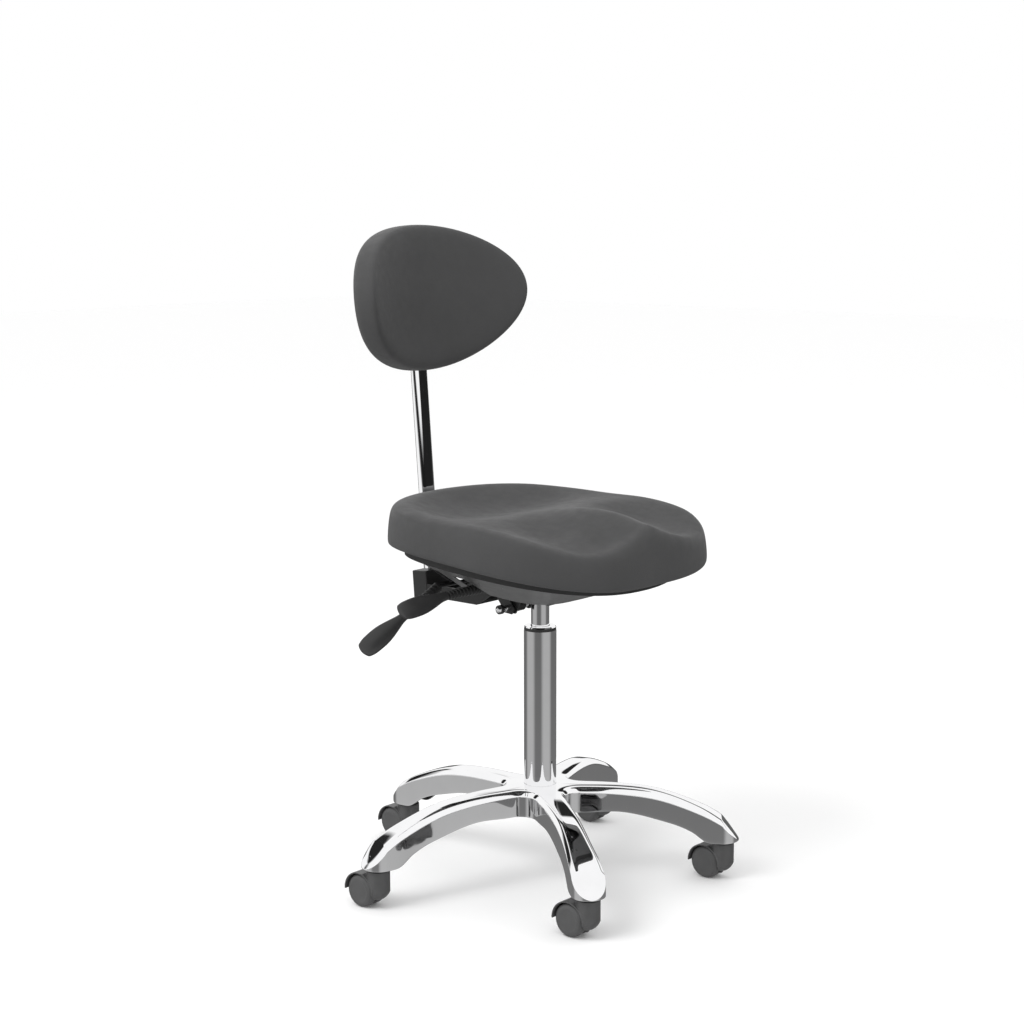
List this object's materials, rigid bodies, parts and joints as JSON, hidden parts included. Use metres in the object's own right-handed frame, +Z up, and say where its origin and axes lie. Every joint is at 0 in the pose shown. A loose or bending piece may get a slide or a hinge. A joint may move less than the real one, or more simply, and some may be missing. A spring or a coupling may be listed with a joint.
{
  "type": "caster stool with backrest",
  "caption": "Height-adjustable stool on casters with a contoured seat, tilt mechanism, two paddle levers and an oval backrest on a post.",
  "frame": {"origin": "on the floor, on the column's axis", "axes": "+Z up along the column; the chair faces -Y; the user's right hand, with the levers, is on the -X side"},
  "size_m": [0.594, 0.5879, 1.0001],
  "materials": {
    "polished_aluminium": "mirror-polished casting",
    "caster_plastic": "moulded nylon with a slight sheen",
    "wheel_plastic": "moulded nylon with a slight sheen",
    "zinc_steel": "bright zinc",
    "chrome": "mirror chrome",
    "black_plastic": "satin moulded plastic",
    "black_rubber": "ribbed soft rubber",
    "black_steel": "satin black powder coat",
    "grey_tray": "satin moulded cover",
    "plywood": "black-stained board edge",
    "upholstery": "fine-grained leatherette, dark grey"
  },
  "bodies": {
    "root": {"base_star": "polished_aluminium", "stand_tube": "chrome", "tube_top_ring": "black_plastic", "tube_cap": "chrome", "guide_bush": "black_plastic", "thrust_bearing": "zinc_steel"},
    "caster_1": {"caster_1_stem": "zinc_steel", "caster_1_hood": "caster_plastic", "caster_1_axle": "zinc_steel"},
    "caster_1_left": {"caster_1_wheel_left": "wheel_plastic"},
    "caster_1_right": {"caster_1_wheel_right": "wheel_plastic"},
    "caster_2": {"caster_2_stem": "zinc_steel", "caster_2_hood": "caster_plastic", "caster_2_axle": "zinc_steel"},
    "caster_2_left": {"caster_2_wheel_left": "wheel_plastic"},
    "caster_2_right": {"caster_2_wheel_right": "wheel_plastic"},
    "caster_3": {"caster_3_stem": "zinc_steel", "caster_3_hood": "caster_plastic", "caster_3_axle": "zinc_steel"},
    "caster_3_left": {"caster_3_wheel_left": "wheel_plastic"},
    "caster_3_right": {"caster_3_wheel_right": "wheel_plastic"},
    "caster_4": {"caster_4_stem": "zinc_steel", "caster_4_hood": "caster_plastic", "caster_4_axle": "zinc_steel"},
    "caster_4_left": {"caster_4_wheel_left": "wheel_plastic"},
    "caster_4_right": {"caster_4_wheel_right": "wheel_plastic"},
    "caster_5": {"caster_5_stem": "zinc_steel", "caster_5_hood": "caster_plastic", "caster_5_axle": "zinc_steel"},
    "caster_5_left": {"caster_5_wheel_left": "wheel_plastic"},
    "caster_5_right": {"caster_5_wheel_right": "wheel_plastic"},
    "rod": {"piston_rod": "zinc_steel", "retaining_clip": "zinc_steel"},
    "lift": {"gas_cylinder": "chrome", "mechanism_housing": "black_steel", "tilt_axle": "chrome", "axle_washers": "black_rubber", "tilt_springs": "black_steel", "back_pivot_axle": "zinc_steel"},
    "button": {"release_button": "black_plastic"},
    "front_lever": {"front_lever_rod": "black_steel", "front_lever_sleeve": "black_rubber", "front_lever_paddle": "black_plastic"},
    "rear_lever": {"rear_lever_rod": "black_steel", "rear_lever_sleeve": "black_rubber", "rear_lever_paddle": "black_plastic"},
    "seat": {"seat_plate": "black_steel", "seat_board": "plywood", "seat_cushion": "upholstery", "seat_bolts": "zinc_steel", "under_tray": "grey_tray", "tray_screws": "zinc_steel"},
    "back_frame": {"back_arm": "black_steel", "post_holder": "black_steel", "back_post": "chrome"},
    "backrest": {"back_cushion": "upholstery", "back_board": "plywood", "back_rear_cover": "black_plastic", "back_bracket": "black_steel", "back_screws": "zinc_steel"}
  },
  "joints": [
    {"name": "caster_1_swivel", "type": "hinge", "parent": "root", "child": "caster_1", "pos_m": [0, 0.282, 0.06], "axis": [0, 0, 1], "continuous": true},
    {"name": "caster_1_roll_left", "type": "hinge", "parent": "caster_1", "child": "caster_1_left", "pos_m": [0, 0.306, 0.025], "axis": [1, 0, 0], "continuous": true},
    {"name": "caster_1_roll_right", "type": "hinge", "parent": "caster_1", "child": "caster_1_right", "pos_m": [0, 0.306, 0.025], "axis": [1, 0, 0], "continuous": true},
    {"name": "caster_2_swivel", "type": "hinge", "parent": "root", "child": "caster_2", "pos_m": [0.2682, 0.08714, 0.06], "axis": [0, 0, 1], "continuous": true},
    {"name": "caster_2_roll_left", "type": "hinge", "parent": "caster_2", "child": "caster_2_left", "pos_m": [0.2682, 0.11114, 0.025], "axis": [1, 0, 0], "continuous": true},
    {"name": "caster_2_roll_right", "type": "hinge", "parent": "caster_2", "child": "caster_2_right", "pos_m": [0.2682, 0.11114, 0.025], "axis": [1, 0, 0], "continuous": true},
    {"name": "caster_3_swivel", "type": "hinge", "parent": "root", "child": "caster_3", "pos_m": [0.16576, -0.22814, 0.06], "axis": [0, 0, 1], "continuous": true},
    {"name": "caster_3_roll_left", "type": "hinge", "parent": "caster_3", "child": "caster_3_left", "pos_m": [0.16576, -0.20414, 0.025], "axis": [1, 0, 0], "continuous": true},
    {"name": "caster_3_roll_right", "type": "hinge", "parent": "caster_3", "child": "caster_3_right", "pos_m": [0.16576, -0.20414, 0.025], "axis": [1, 0, 0], "continuous": true},
    {"name": "caster_4_swivel", "type": "hinge", "parent": "root", "child": "caster_4", "pos_m": [-0.16576, -0.22814, 0.06], "axis": [0, 0, 1], "continuous": true},
    {"name": "caster_4_roll_left", "type": "hinge", "parent": "caster_4", "child": "caster_4_left", "pos_m": [-0.16576, -0.20414, 0.025], "axis": [1, 0, 0], "continuous": true},
    {"name": "caster_4_roll_right", "type": "hinge", "parent": "caster_4", "child": "caster_4_right", "pos_m": [-0.16576, -0.20414, 0.025], "axis": [1, 0, 0], "continuous": true},
    {"name": "caster_5_swivel", "type": "hinge", "parent": "root", "child": "caster_5", "pos_m": [-0.2682, 0.08714, 0.06], "axis": [0, 0, 1], "continuous": true},
    {"name": "caster_5_roll_left", "type": "hinge", "parent": "caster_5", "child": "caster_5_left", "pos_m": [-0.2682, 0.11114, 0.025], "axis": [1, 0, 0], "continuous": true},
    {"name": "caster_5_roll_right", "type": "hinge", "parent": "caster_5", "child": "caster_5_right", "pos_m": [-0.2682, 0.11114, 0.025], "axis": [1, 0, 0], "continuous": true},
    {"name": "seat_swivel", "type": "hinge", "parent": "root", "child": "rod", "pos_m": [0, 0, 0.11], "axis": [0, 0, 1], "continuous": true},
    {"name": "seat_height", "type": "slide", "parent": "rod", "child": "lift", "axis": [0, 0, 1], "range_m": [0, 0.19]},
    {"name": "back_recline", "type": "hinge", "parent": "lift", "child": "back_frame", "pos_m": [0, 0.076, 0.45], "axis": [-1, 0, 0], "range_deg": [0, 15]},
    {"name": "seat_tilt", "type": "hinge", "parent": "lift", "child": "seat", "pos_m": [0, 0.03, 0.425], "axis": [-1, 0, 0], "range_deg": [0, 6]},
    {"name": "back_height", "type": "slide", "parent": "back_frame", "child": "backrest", "axis": [0, 0.0774, 0.997], "range_m": [0, 0.06]},
    {"name": "front_lever_lift", "type": "hinge", "parent": "lift", "child": "front_lever", "pos_m": [-0.028, 0.025, 0.466], "axis": [0, 1, 0], "range_deg": [0, 7], "stiffness_Nm_per_rad": 1.5},
    {"name": "button_press", "type": "slide", "parent": "lift", "child": "button", "axis": [0, 0, -1], "range_m": [0, 0.0045], "stiffness_N_per_m": 20},
    {"name": "rear_lever_lift", "type": "hinge", "parent": "lift", "child": "rear_lever", "pos_m": [-0.028, 0.082, 0.466], "axis": [0, 1, 0], "range_deg": [0, 7], "stiffness_Nm_per_rad": 1.5}
  ],
  "couplings": [
    {"joint": "seat_tilt", "follows": "back_recline", "ratio": 0.4},
    {"joint": "button_press", "follows": "front_lever_lift", "m_per_rad": 0.028}
  ]
}
